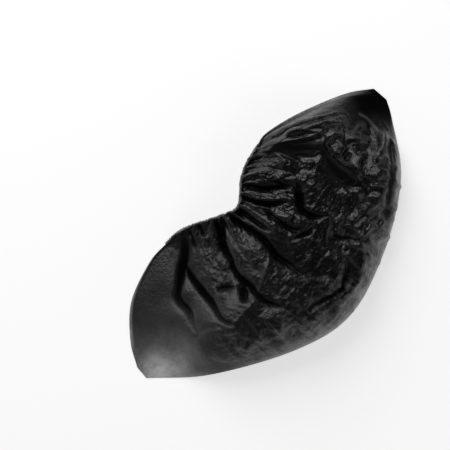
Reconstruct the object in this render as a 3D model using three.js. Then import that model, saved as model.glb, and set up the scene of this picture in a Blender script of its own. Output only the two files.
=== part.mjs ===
// A disposable shoe cover of thin plastic film, lying relaxed on its side as it comes out of the packet.
// Millimetres, +Z up. +X runs from the heel end to the toe end and +Y points out of the mouth.
// The origin is under the middle of the cover's box, on the surface that it lies on.
//
// One rectangle of film is folded along the sole, welded along the heel and toe ends, and gathered
// along the mouth by a thread of elastic on each side. The fold and the welds lie flat, so the outline
// is a bean, and the loose film between them stands up in folds that fan out from the mouth.
//
// A place on one side of the cover is (u, v): u runs from the heel weld, 0, to the toe weld, 1, and
// v from the sole fold, 0, to the mouth, 1.
import * as THREE from "three";

// Driving dimensions
const WALL = 1.2; // film wall, thick enough to be a sound solid
const PUFF = 42; // how far the loose film stands over the lower side at the heel and the arch
const TOE_PUFF = 32; // and at the toes
const TOE_START = 10; // the place along x where the first height begins to turn into the second
const TOE_END = 120; // and where it has done so
const MOUTH_SHARE = 0.75; // height of the mouth as a share of that
const MOUTH_SLOPE = 0.4; // from this share of v on, the film slopes down to the mouth
const SOLE_REACH = 40; // how far from the sole fold the film stands at its full height, heel and arch
const BALL_REACH = 17; // and at the ball and the toes
const HEEL_REACH = 90; // the same from the heel weld, in an even slope
const TOE_REACH = 22; // the same from the toe weld
const STEEP = 0.62; // how steeply it rises from the sole fold and the toe weld: less is steeper
const CORNER_SHARE = 0.06; // share of the height that is left at the ends of the sole fold
const HEEL_CORNER = { from: 12, to: 60 }; // how far from that end the height begins and ends to grow
const TOE_CORNER = { from: 8, to: 72 };
const FOLD_BAND = 0.02; // flat band along the sole fold, as a share of v
const FLAT_EDGE = 2.5; // width of the flat edge along the fold and the welds
const WELD_COLUMNS = 1; // columns of the grid that each end weld takes up
const CHAMFER_SHARE = 0.1; // the cut corner of each end, as a share of v
const LEAST_LOFT = 3; // a fold never comes closer to the lower side than this
const FOLD_FADE = 0.6; // under this share of the full height the folds fade out towards the flat edges
const TAPER = 1.5; // how late a fold that starts at the mouth runs out
const HELD_SHARE = 0.45; // the elastic holds such a fold to this share of its depth at the mouth
const HELD_REACH = 0.3; // and less and less over this share of its length
const STEEPEST = 4; // the wall is thickened along z by this at most where the film slopes
const RUFFLES = 12; // gathers along the mouth
const RUFFLE_HEIGHT = 1.8; // half the height of a gather at the mouth's upper edge
const RUFFLE_LIFT = 2.6; // how far the gathers lift the mouth's lower edge
const RUFFLE_REACH = 0.3; // how far the gathers reach back from the mouth, as a share of v
const LIFT_START = 0.2; // how far from an end weld the lower edge is lifted in full, as a share of u
const ELASTIC_RADIUS = 1.1; // elastic thread with the film's edge welded round it
const FLOOR_GAP = 0.25; // clearance between the lower elastic and the surface
const GAP = 0.3; // clearance between neighbouring solids

// The grid that the film is made on
const COLUMNS = 76;
const BAND_ROWS = 1; // rows of the flat band along the sole fold, past which the two sides part
const LOOSE_ROWS = 15; // rows from that band to the mouth
const ROWS = BAND_ROWS + LOOSE_ROWS;
const ROW_CROWD = 1.35; // how much closer the rows are towards the sole fold: 1 is evenly spaced
const COLUMN_CROWD = 0.07; // how much closer the columns are towards the end welds: 0 is evenly spaced
const EDGE_STEPS = 80; // short steps that an edge is measured in
const ELASTIC_STEPS = 60;
const ELASTIC_SIDES = 6;

// The outline seen from above: the points that each edge passes through
const SOLE_FOLD = [
  { at: "heel corner", x: -164.6, y: 17.1 },
  { at: "back of heel", x: -124, y: -25 },
  { at: "heel", x: -56, y: -69 },
  { at: "arch", x: 0, y: -84.6 },
  { at: "ball", x: 65.3, y: -68.5 },
  { at: "toes", x: 120.5, y: -38.3 },
  { at: "front of toes", x: 153.9, y: 1.2 },
  { at: "toe corner", x: 164.6, y: 17.1 },
];
const HEEL_WELD = [
  { at: "cut corner", x: -162.6, y: 29.7 },
  { at: "lower bulge", x: -148, y: 50.4 },
  { at: "bulge", x: -121, y: 72.3 },
  { at: "upper bulge", x: -84, y: 82.6 },
  { at: "mouth", x: -62, y: 82.3 },
];
const TOE_WELD = [
  { at: "cut corner", x: 164.7, y: 32.1 },
  { at: "lower bulge", x: 143.7, y: 49.1 },
  { at: "bulge", x: 103.8, y: 68.8 },
  { at: "upper bulge", x: 72, y: 79.1 },
  { at: "mouth", x: 58.8, y: 77.6 },
];
const MOUTH = [
  { at: "heel end", x: -62, y: 82.3 },
  { at: "heel shoulder", x: -43, y: 79.7 },
  { at: "heel slope", x: -18, y: 65.5 },
  { at: "dip", x: 4, y: 55.5 },
  { at: "toe slope", x: 24.7, y: 68.5 },
  { at: "toe shoulder", x: 40, y: 74.8 },
  { at: "toe end", x: 58.8, y: 77.6 },
];

// The main folds of the upper side, seen from above. Each runs from (x0, y0) through (x1, y1) to
// (x2, y2), and is depth deep and width wide to the side where it has fallen to a third. A ridge has a
// depth under 0. A fold that starts at the mouth is deepest near it, and a loose one in its middle.
const FOLDS = [
  { name: "heel flap", x0: -50, y0: 76, x1: -81, y1: 52, x2: -112, y2: 4, depth: 13, width: 7 },
  { name: "heel gusset", x0: -63, y0: 58, x1: -74, y1: 20, x2: -77, y2: -17, depth: 9, width: 6 },
  { name: "arch pinch", x0: -25, y0: 66, x1: -36, y1: 50, x2: -46, y2: 36, depth: 6, width: 4.5 },
  { name: "arch fold", x0: -13, y0: 61, x1: -41, y1: 2, x2: -27, y2: -48, depth: 13, width: 7 },
  { name: "instep fold", x0: -3, y0: 57, x1: -7, y1: 15, x2: 2, y2: -39, depth: 12, width: 7 },
  { name: "low pleat", x0: 8, y0: 55, x1: 12, y1: 30, x2: 12, y2: 8, depth: 8, width: 5.5 },
  { name: "middle pleat", x0: 19, y0: 63, x1: 36, y1: 45, x2: 54, y2: 26, depth: 7, width: 4.5 },
  { name: "high pleat", x0: 30, y0: 70, x1: 43, y1: 51, x2: 58, y2: 32, depth: 7, width: 4.5 },
  { name: "toe fold", x0: 56, y0: 75, x1: 79, y1: 55, x2: 99, y2: 35, depth: 8, width: 8 },
  { name: "vamp hollow", x0: 57, y0: 32, x1: 44, y1: 8, x2: 51, y2: -14, depth: 10, width: 7, loose: true },
  { name: "toe hollow", x0: 91, y0: 33, x1: 90, y1: 5, x2: 97, y2: -27, depth: 7, width: 7, loose: true },
  { name: "toe ridge", x0: 122, y0: 30, x1: 112, y1: 8, x2: 100, y2: -18, depth: -4, width: 8, loose: true },
  { name: "toe tip", x0: 144, y0: 26, x1: 138, y1: -2, x2: 121, y2: -21, depth: 5, width: 6, loose: true },
  { name: "ball hollow", x0: 36, y0: -20, x1: 47, y1: -37, x2: 58, y2: -54, depth: 6, width: 7, loose: true },
  { name: "sole dent", x0: 27, y0: -55, x1: -4, y1: -59, x2: -33, y2: -45, depth: 6, width: 7, loose: true },
];
const FOLD_STEPS = 24; // short steps that a fold's line is measured in

const FILM = new THREE.MeshStandardMaterial({ color: 0x0c0c0d, roughness: 0.32, metalness: 0 });
const ELASTIC = new THREE.MeshStandardMaterial({ color: 0x121213, roughness: 0.5, metalness: 0 });

const mix = THREE.MathUtils.lerp;
const ramp = THREE.MathUtils.smoothstep;

// A smooth edge through the points of a table
function edgeThrough(table) {
  return new THREE.SplineCurve(table.map((row) => new THREE.Vector2(row.x, row.y)));
}

// An end weld, from the sole fold across its cut corner and up to the mouth
function weldFrom(corner, table) {
  const start = new THREE.Vector2(corner.x, corner.y);
  const cut = new THREE.LineCurve(start, new THREE.Vector2(table[0].x, table[0].y));
  const side = edgeThrough(table);
  return (v) =>
    v < CHAMFER_SHARE
      ? cut.getPointAt(v / CHAMFER_SHARE)
      : side.getPointAt((v - CHAMFER_SHARE) / (1 - CHAMFER_SHARE));
}

const soleFold = edgeThrough(SOLE_FOLD);
const mouth = edgeThrough(MOUTH);
const heelWeld = weldFrom(SOLE_FOLD[0], HEEL_WELD);
const toeWeld = weldFrom(SOLE_FOLD[SOLE_FOLD.length - 1], TOE_WELD);

// Where (u, v) lies seen from above: a patch filled in between the four edges
function planPoint(u, v) {
  const across = heelWeld(v).lerp(toeWeld(v), u);
  const along = soleFold.getPointAt(u).lerp(mouth.getPointAt(u), v);
  const low = soleFold.getPointAt(0).lerp(soleFold.getPointAt(1), u);
  const corners = low.lerp(mouth.getPointAt(0).lerp(mouth.getPointAt(1), u), v);
  return across.add(along).sub(corners);
}

// The line of a fold seen from above, as short steps, with the share of the depth at each
function foldLine(fold) {
  const through = (a, b, c, t) => a * (1 - t) * (1 - 2 * t) + 4 * b * t * (1 - t) + c * t * (2 * t - 1);
  const steps = [];
  for (let k = 0; k <= FOLD_STEPS; k++) {
    const t = k / FOLD_STEPS;
    const x = through(fold.x0, fold.x1, fold.x2, t);
    const y = through(fold.y0, fold.y1, fold.y2, t);
    const held = mix(HELD_SHARE, 1, ramp(t, 0, HELD_REACH));
    const share = fold.loose ? Math.sin(Math.PI * t) : held * Math.cos((Math.PI / 2) * t ** TAPER);
    steps.push({ point: new THREE.Vector2(x, y), share });
  }
  return steps;
}

const foldLines = FOLDS.map((fold) => ({ fold, steps: foldLine(fold) }));

// How far all the folds together lower the film at a point seen from above
function foldDepth(point) {
  let total = 0;
  for (const { fold, steps } of foldLines) {
    let nearest = Infinity;
    let share = 0;
    for (const step of steps) {
      const distance = point.distanceTo(step.point);
      if (distance < nearest) {
        nearest = distance;
        share = step.share;
      }
    }
    total += fold.depth * share * Math.exp(-((nearest / fold.width) ** 2));
  }
  return total;
}

// The place of a column of the grid: closer together where the film rises from the welds
function columnPlace(i) {
  const t = i / COLUMNS;
  return t - COLUMN_CROWD * Math.sin(2 * Math.PI * t);
}

const weldShare = columnPlace(WELD_COLUMNS);

// The gathers' wave along the mouth, fading back into the film and towards the ends of the mouth
function ruffle(u, v) {
  const fade = ramp(v, 1 - RUFFLE_REACH, 1) * Math.sin(Math.PI * u);
  return fade * Math.cos(2 * Math.PI * RUFFLES * u);
}

// How far a point seen from above lies from a line of points, beyond its flat edge
function offEdge(point, line) {
  let nearest = Infinity;
  for (let k = 1; k < line.length; k++) {
    const run = line[k].clone().sub(line[k - 1]);
    const share = point.clone().sub(line[k - 1]).dot(run) / run.lengthSq();
    const foot = line[k - 1].clone().addScaledVector(run, THREE.MathUtils.clamp(share, 0, 1));
    nearest = Math.min(nearest, point.distanceTo(foot));
  }
  return Math.max(nearest - FLAT_EDGE, 0);
}

const soleLine = soleFold.getSpacedPoints(EDGE_STEPS);
const heelLine = edgeThrough(HEEL_WELD).getSpacedPoints(EDGE_STEPS);
const toeLine = edgeThrough(TOE_WELD).getSpacedPoints(EDGE_STEPS);

// The round rise of the film from an edge, as a share of its full height
function swell(share) {
  return (1 - (1 - Math.min(share, 1)) ** 2) ** STEEP;
}

// How far the loose film stands over the lower side before it is folded
function loftAt(v, point) {
  const toewards = ramp(point.x, TOE_START, TOE_END);
  const fromSole = swell(offEdge(point, soleLine) / mix(SOLE_REACH, BALL_REACH, toewards));
  const fromHeel = Math.min(offEdge(point, heelLine) / HEEL_REACH, 1);
  const fromToe = swell(offEdge(point, toeLine) / TOE_REACH);
  const heelEnd = ramp(point.distanceTo(soleLine[0]), HEEL_CORNER.from, HEEL_CORNER.to);
  const toeEnd = ramp(point.distanceTo(soleLine[EDGE_STEPS]), TOE_CORNER.from, TOE_CORNER.to);
  const ends = mix(CORNER_SHARE, 1, heelEnd) * mix(CORNER_SHARE, 1, toeEnd);
  const slope = mix(1, MOUTH_SHARE, ramp(v, MOUTH_SLOPE, 1));
  return mix(PUFF, TOE_PUFF, toewards) * fromSole * fromHeel * fromToe * ends * slope;
}

// Height of the upper side's outer face
function upperHeight(u, v, point) {
  const loft = loftAt(v, point);
  const free = ramp(loft, 0, FOLD_FADE * PUFF);
  const folded = loft - free * (foldDepth(point) - RUFFLE_HEIGHT * ruffle(u, v));
  return 2 * WALL + Math.max(folded, Math.min(loft, LEAST_LOFT));
}

// Height of the lower side's outer face, flat where it lies and lifted a little by the gathers
function lowerHeight(u, v) {
  const inside = ramp(u, weldShare, LIFT_START) * ramp(1 - u, weldShare, LIFT_START);
  const lift = ramp(v, 1 - RUFFLE_REACH / 2, 1) * (0.5 - 0.5 * Math.cos(2 * Math.PI * RUFFLES * u));
  return RUFFLE_LIFT * inside * lift;
}

// The place of a row of the grid: the flat band, and then closer rows where the film rises
function rowPlace(j) {
  if (j <= BAND_ROWS) return (FOLD_BAND * j) / BAND_ROWS;
  return mix(FOLD_BAND, 1, ((j - BAND_ROWS) / LOOSE_ROWS) ** ROW_CROWD);
}

const rowPlaces = Array.from({ length: ROWS + 1 }, (_, j) => rowPlace(j));

// One side's outer face as a grid of points, a column for each u and a row for each v
function sideGrid(height) {
  const grid = [];
  for (let i = 0; i <= COLUMNS; i++) {
    grid.push(
      rowPlaces.map((v) => {
        const u = columnPlace(i);
        const point = planPoint(u, v);
        return new THREE.Vector3(point.x, point.y, height(u, v, point));
      }),
    );
  }
  return grid;
}

// How much higher than square the wall measures where the film slopes
function wallHeight(grid, i, j) {
  const across = grid[Math.min(i + 1, COLUMNS)][j].clone().sub(grid[Math.max(i - 1, 0)][j]);
  const along = grid[i][Math.min(j + 1, ROWS)].clone().sub(grid[i][Math.max(j - 1, 0)]);
  const normal = across.cross(along).normalize();
  return WALL / Math.max(Math.abs(normal.z), 1 / STEEPEST);
}

const upper = sideGrid(upperHeight);
const lower = sideGrid((u, v) => lowerHeight(u, v));
const lastLoose = COLUMNS - WELD_COLUMNS;

// The film: outer faces all over, inner faces wherever the two sides are apart, and a rim at the mouth
function filmBody() {
  const positions = [];
  const triangles = [];
  const add = (point) => positions.push(point.x, point.y, point.z) / 3 - 1;
  const triangle = (a, b, c) => triangles.push(a, b, c);
  const quad = (a, b, c, d, turned = false) => {
    triangle(a, b, turned ? d : c);
    triangle(turned ? b : a, c, d);
  };
  // The film's diagonals follow its folds, and at the inner corners they start from the corner
  const turn = (grid, i, j) =>
    Math.abs(grid[i][j].z - grid[i + 1][j + 1].z) > Math.abs(grid[i + 1][j].z - grid[i][j + 1].z);
  const innerTurn = (grid, i, j) => {
    if (j === BAND_ROWS && i === WELD_COLUMNS) return false;
    if (j === BAND_ROWS && i === lastLoose - 1) return true;
    return turn(grid, i, j);
  };

  const top = upper.map((column) => column.map(add));
  const bottom = lower.map((column) => column.map(add));
  const innerTop = [];
  const innerBottom = [];
  for (let i = WELD_COLUMNS; i <= lastLoose; i++) {
    innerTop[i] = [];
    innerBottom[i] = [];
    for (let j = BAND_ROWS; j <= ROWS; j++) {
      const floor = lower[i][j].clone();
      floor.z += WALL;
      const joined = i === WELD_COLUMNS || i === lastLoose || j === BAND_ROWS;
      innerBottom[i][j] = add(floor);
      if (joined) {
        innerTop[i][j] = innerBottom[i][j];
        continue;
      }
      const roof = upper[i][j].clone();
      roof.z = Math.max(roof.z - wallHeight(upper, i, j), floor.z + GAP);
      innerTop[i][j] = add(roof);
    }
  }

  for (let i = 0; i < COLUMNS; i++) {
    for (let j = 0; j < ROWS; j++) {
      quad(top[i][j], top[i + 1][j], top[i + 1][j + 1], top[i][j + 1], turn(upper, i, j));
      quad(bottom[i][j], bottom[i][j + 1], bottom[i + 1][j + 1], bottom[i + 1][j], turn(lower, i, j));
    }
    quad(bottom[i][0], bottom[i + 1][0], top[i + 1][0], top[i][0]);
  }
  for (let j = 0; j < ROWS; j++) {
    quad(bottom[0][j], top[0][j], top[0][j + 1], bottom[0][j + 1]);
    quad(bottom[COLUMNS][j], bottom[COLUMNS][j + 1], top[COLUMNS][j + 1], top[COLUMNS][j]);
  }

  for (let i = WELD_COLUMNS; i < lastLoose; i++) {
    for (let j = BAND_ROWS; j < ROWS; j++) {
      const roofTurn = innerTurn(upper, i, j);
      const floorTurn = innerTurn(lower, i, j);
      const roof = innerTop;
      const floor = innerBottom;
      quad(roof[i][j], roof[i][j + 1], roof[i + 1][j + 1], roof[i + 1][j], roofTurn);
      quad(floor[i][j], floor[i + 1][j], floor[i + 1][j + 1], floor[i][j + 1], floorTurn);
    }
    quad(top[i][ROWS], top[i + 1][ROWS], innerTop[i + 1][ROWS], innerTop[i][ROWS]);
    quad(innerBottom[i][ROWS], innerBottom[i + 1][ROWS], bottom[i + 1][ROWS], bottom[i][ROWS]);
  }
  for (let i = 0; i < WELD_COLUMNS - 1; i++) {
    const k = COLUMNS - i;
    quad(top[i][ROWS], top[i + 1][ROWS], bottom[i + 1][ROWS], bottom[i][ROWS]);
    quad(top[k - 1][ROWS], top[k][ROWS], bottom[k][ROWS], bottom[k - 1][ROWS]);
  }
  const mouthEnds = [
    { weld: WELD_COLUMNS - 1, open: WELD_COLUMNS },
    { weld: lastLoose + 1, open: lastLoose },
  ];
  for (const { weld, open } of mouthEnds) {
    const around = [top[weld], top[open], innerTop[open], bottom[open], bottom[weld]];
    const fan = around.map((column) => column[ROWS]);
    if (weld > open) fan.reverse();
    triangle(fan[0], fan[1], fan[2]);
    triangle(fan[0], fan[2], fan[4]);
    triangle(fan[2], fan[3], fan[4]);
  }

  const geometry = new THREE.BufferGeometry();
  geometry.setAttribute("position", new THREE.Float32BufferAttribute(positions, 3));
  geometry.setIndex(triangles);
  geometry.computeVertexNormals();
  const mesh = new THREE.Mesh(geometry, FILM);
  mesh.name = "film_body";
  return mesh;
}

// The line of a side's elastic, just clear of the film's edge and kept apart from the other side's
function elasticLine(height) {
  const line = [];
  for (let i = WELD_COLUMNS; i <= lastLoose; i++) {
    const along = mouth.getTangentAt(columnPlace(i));
    const outward = new THREE.Vector2(-along.y, along.x).setLength(GAP + ELASTIC_RADIUS);
    const place = planPoint(columnPlace(i), 1).add(outward);
    line.push(new THREE.Vector3(place.x, place.y, height(i)));
  }
  return new THREE.CatmullRomCurve3(line);
}

// A thread of elastic along the mouth, its ends caught in the two welds
function elasticThread(name, height) {
  const section = new THREE.Shape();
  for (let k = 0; k < ELASTIC_SIDES; k++) {
    const turn = (2 * Math.PI * k) / ELASTIC_SIDES;
    const x = ELASTIC_RADIUS * Math.cos(turn);
    const y = ELASTIC_RADIUS * Math.sin(turn);
    if (k === 0) section.moveTo(x, y);
    else section.lineTo(x, y);
  }
  section.closePath();
  const geometry = new THREE.ExtrudeGeometry(section, {
    steps: ELASTIC_STEPS,
    extrudePath: elasticLine(height),
  });
  const mesh = new THREE.Mesh(geometry, ELASTIC);
  mesh.name = name;
  return mesh;
}

// Heights of the two threads: in the middle of the film's edge, and a thread's width apart at the ends
const lowElastic = (i) => Math.max(lower[i][ROWS].z + WALL / 2, ELASTIC_RADIUS + FLOOR_GAP);
const highElastic = (i) =>
  Math.max(upper[i][ROWS].z - WALL / 2, lowElastic(i) + 2 * ELASTIC_RADIUS + GAP);

const cover = new THREE.Group();
cover.add(filmBody());
cover.add(elasticThread("upper_elastic", highElastic));
cover.add(elasticThread("lower_elastic", lowElastic));

export default cover;
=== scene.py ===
"""Looks of a disposable shoe cover of thin black film, lying on its side.

The film is one sheet, folded along the sole, welded to itself at the heel end and the toe end, and
gathered along the two edges of its mouth by crimped elastic. Tables are in millimetres and meshes in
metres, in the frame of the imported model: +X from heel to toe, +Y out of the mouth, +Z up. A place on a
side of the cover has two shares: u from the heel weld, 0, to the toe weld, 1, and v from the sole fold,
0, to the mouth, 1.
"""

from __future__ import annotations

import logging
import math
from collections.abc import Iterable
from dataclasses import dataclass, field
from enum import Enum
from typing import NamedTuple

import bpy
import numpy as np
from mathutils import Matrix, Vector

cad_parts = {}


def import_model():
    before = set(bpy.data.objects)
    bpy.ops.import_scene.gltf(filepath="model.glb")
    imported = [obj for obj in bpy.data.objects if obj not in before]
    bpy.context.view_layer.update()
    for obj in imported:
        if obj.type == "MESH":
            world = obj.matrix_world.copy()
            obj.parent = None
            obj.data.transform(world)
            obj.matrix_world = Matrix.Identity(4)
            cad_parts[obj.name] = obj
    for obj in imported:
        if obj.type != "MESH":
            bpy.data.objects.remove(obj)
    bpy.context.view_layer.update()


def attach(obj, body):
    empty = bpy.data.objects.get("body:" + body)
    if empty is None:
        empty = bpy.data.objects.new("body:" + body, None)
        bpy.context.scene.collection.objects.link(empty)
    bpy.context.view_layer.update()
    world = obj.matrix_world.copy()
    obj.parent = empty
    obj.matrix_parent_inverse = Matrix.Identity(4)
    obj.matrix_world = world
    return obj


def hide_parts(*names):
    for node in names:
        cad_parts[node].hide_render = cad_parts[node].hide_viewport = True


MM = 0.001
BODY = "root"
PHOTO_SIDE = 450
TINY = 1e-9

log = logging.getLogger("shoe_cover")

Array = np.ndarray
Pair = tuple[float, float]
Points = tuple[Pair, ...]
Triple = tuple[float, float, float]
Socket = bpy.types.NodeSocket
Outputs = bpy.types.bpy_prop_collection
Value = Socket | float | tuple[float, ...] | list


def smooth_step(value: Array, low: float, high: float) -> Array:
    """A soft step from 0 at low to 1 at high, either of which may be the lesser."""
    t = np.clip((np.asarray(value, float) - low) / (high - low), 0.0, 1.0)
    return t * t * (3.0 - 2.0 * t)


def bell(away: Array, width: Array | float, power: float = 2) -> Array:
    """1 at no distance away, falling to 0 past the width, and flatter inside it for a higher power."""
    return np.exp(-((away / width) ** power))


def mix(a: float, b: float, share: Array) -> Array:
    """The value that lies the given share of the way from a to b."""
    return a + (b - a) * share


def distance(plan: Array, point: Pair | Array) -> Array:
    """How far plan points lie from one point."""
    return np.linalg.norm(plan - np.array(point), axis=-1)


def surface_normal(grid: Array) -> Array:
    """The outward normal at each point of a grid of film."""
    normal = np.cross(np.gradient(grid, axis=0), np.gradient(grid, axis=1))
    return normal / np.maximum(np.linalg.norm(normal, axis=-1, keepdims=True), TINY)


class Spline:
    """A smooth line through a few plan points, measured along its length."""

    STEPS = 40

    def __init__(self, points: Points) -> None:
        """Lays the line.

        Args:
            points: the plan points that it passes through, in millimetres.
        """
        knots = np.array(points, float)
        ends = np.vstack([2 * knots[0] - knots[1], knots, 2 * knots[-1] - knots[-2]])
        t = np.linspace(0.0, 1.0, self.STEPS, endpoint=False)[:, None]
        runs = []
        for k in range(1, len(ends) - 2):
            a, b, c, d = ends[k - 1 : k + 3]
            bend = (2 * a - 5 * b + 4 * c - d) * t**2 + (3 * b - a - 3 * c + d) * t**3
            runs.append(0.5 * (2 * b + (c - a) * t + bend))
        self.line = np.vstack([*runs, knots[-1:]])
        steps = np.linalg.norm(np.diff(self.line, axis=0), axis=1)
        self.length_at = np.concatenate([[0.0], np.cumsum(steps)])

    def at(self, share: Array) -> Array:
        """Points on the line.

        Args:
            share: how far along its length each lies, from 0 to 1.

        Returns:
            The plan points, in millimetres.
        """
        reach = np.asarray(share, float) * self.length_at[-1]
        return np.stack([np.interp(reach, self.length_at, self.line[:, k]) for k in (0, 1)], -1)

    def away(self, plan: Array) -> Array:
        """How far plan points lie from the line.

        Args:
            plan: the plan points, in millimetres.

        Returns:
            The distances, in millimetres.
        """
        least = np.full(plan.shape[:-1], np.inf)
        knots = self.at(np.linspace(0.0, 1.0, self.STEPS + 1))
        for start, end in zip(knots[:-1], knots[1:]):
            run = end - start
            t = np.clip((plan - start) @ run / (run @ run), 0.0, 1.0)
            least = np.minimum(least, np.linalg.norm(plan - start - t[..., None] * run, axis=-1))
        return least


@dataclass(frozen=True)
class Outline:
    """The cover's outline seen from above: the points that each edge of its side passes through."""

    sole_fold: Points = (
        (-164.6, 17.1), (-124, -25), (-56, -69), (0, -84.6),
        (65.3, -68.5), (120.5, -38.3), (153.9, 1.2), (164.6, 17.1),
    )
    heel_weld: Points = ((-162.6, 29.7), (-148, 50.4), (-121, 72.3), (-84, 82.6), (-62, 82.3))
    toe_weld: Points = ((164.7, 32.1), (143.7, 49.1), (103.8, 68.8), (72, 79.1), (58.8, 77.6))
    mouth: Points = (
        (-62, 82.3), (-43, 79.7), (-18, 65.5), (4, 55.5),
        (24.7, 68.5), (40, 74.8), (58.8, 77.6),
    )
    cut_share: float = 0.1

    def _weld(self, corner: Pair, points: Points, v: Array) -> Array:
        """Points on an end weld, from the sole fold across the cut corner to the mouth."""
        side = Spline(points).at(np.clip((v - self.cut_share) / (1 - self.cut_share), 0, 1))
        share = np.clip(v / self.cut_share, 0, 1)[..., None]
        cut = mix(np.array(corner), np.array(points[0]), share)
        return np.where((v < self.cut_share)[..., None], cut, side)

    def plan(self, u: Array, v: Array) -> Array:
        """Where places on the side lie, seen from above.

        Args:
            u: shares from the heel weld to the toe weld.
            v: shares from the sole fold to the mouth.

        Returns:
            The plan points, in millimetres.
        """
        sole, mouth = Spline(self.sole_fold), Spline(self.mouth)
        heel = self._weld(self.sole_fold[0], self.heel_weld, v)
        toe = self._weld(self.sole_fold[-1], self.toe_weld, v)
        across, along = u[..., None], v[..., None]
        patch = mix(sole.at(u), mouth.at(u), along) + mix(heel, toe, across)
        low = mix(np.array(self.sole_fold[0]), np.array(self.sole_fold[-1]), across)
        high = mix(np.array(self.mouth[0]), np.array(self.mouth[-1]), across)
        return patch - mix(low, high, along)


class Run(Enum):
    """How a crease runs out."""

    FROM_MOUTH = "from the mouth"
    LOOSE = "loose"


class Fold(NamedTuple):
    """What a crease does to points of the film.

    The sink is how far each goes down with the bend of the film, and the cut how far it goes down sharply
    along the line, in millimetres. The hold says how taut the crease keeps it and the shade how deep it
    lies in the slot, both from 0 to 1. The shade is painted shade: it takes the gloss off the film there.
    """

    sink: Array
    cut: Array
    hold: Array
    shade: Array


@dataclass(frozen=True)
class Crease:
    """A fold of the upper side: a line seen from above and the shape of the film across it.

    The film bends down by depth towards the line, over the left reach on the line's left hand and over
    the right reach on its right. Along the line itself it drops into a narrow slot, whose floor has the
    given half width. A depth under 0 is a ridge.
    """

    name: str
    points: Points
    depth: float
    left: float
    right: float
    slot: float = 0.0
    floor: float = 0.0
    run: Run = Run.FROM_MOUTH
    taut: float = 0.0

    STEPS = 60
    BOW = 1.2
    SLOT_REACH = 1.9
    SLOT_BOW = 1.4
    SHADE_REACH = 2.2
    FULL_SHADE = 5.0
    HELD_SHARE = 0.5
    HELD_TO = 0.15
    FLOOR_TO = 0.2
    RUN_OUT = 0.65
    LOOSE_BOW = 0.8

    def _share(self, t: Array) -> Array:
        """The share of the depth along the line, t from 0 at its start to 1 at its end."""
        if self.run is Run.LOOSE:
            return np.sin(np.pi * t) ** self.LOOSE_BOW
        held = mix(self.HELD_SHARE, 1.0, smooth_step(t, 0.0, self.HELD_TO))
        return held * smooth_step(t, 1.0, self.RUN_OUT)

    def fold(self, plan: Array) -> Fold:
        """Works out what the crease does to the film.

        Args:
            plan: plan points, in millimetres.

        Returns:
            The fold at each point.
        """
        t = np.linspace(0.0, 1.0, self.STEPS)
        line = Spline(self.points).at(t)
        ahead = np.gradient(line, axis=0)
        ahead /= np.linalg.norm(ahead, axis=1)[:, None]
        away = plan[..., None, :] - line
        nearest = np.argmin((away**2).sum(-1), axis=-1)
        away = np.take_along_axis(away, nearest[..., None, None], axis=-2)[..., 0, :]
        forward = ahead[nearest]
        side = away[..., 1] * forward[..., 0] - away[..., 0] * forward[..., 1]
        beyond = (away * forward).sum(-1)
        reach = np.where(side > 0, self.left, self.right)
        share = self._share(t)[nearest] * bell(beyond, reach)
        wide = smooth_step(t, 0.0, self.HELD_TO) * smooth_step(t, self.RUN_OUT, self.FLOOR_TO)
        off = np.maximum(np.abs(side) - self.floor * wide[nearest], 0.0)
        bend = share * self.depth * bell(off, reach, self.BOW)
        drop = share * self.slot * bell(off, self.SLOT_REACH, self.SLOT_BOW)
        hold = self.taut * share * bell(off, self.right)
        # Painted shade along the slot, which takes the gloss off the film there
        shade = min(self.slot / self.FULL_SHADE, 1.0) * np.sqrt(share) * bell(off, self.SHADE_REACH)
        if self.depth < 0:
            return Fold(0.0 * share, bend, hold, shade)
        return Fold(bend, drop, hold, shade)


LOOSE = Run.LOOSE
TOE_TIP = Crease("toe tip", ((139, 27), (140, 18), (138, 9), (134, 0), (124, -13)), -8, 3, 2, run=LOOSE)

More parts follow.
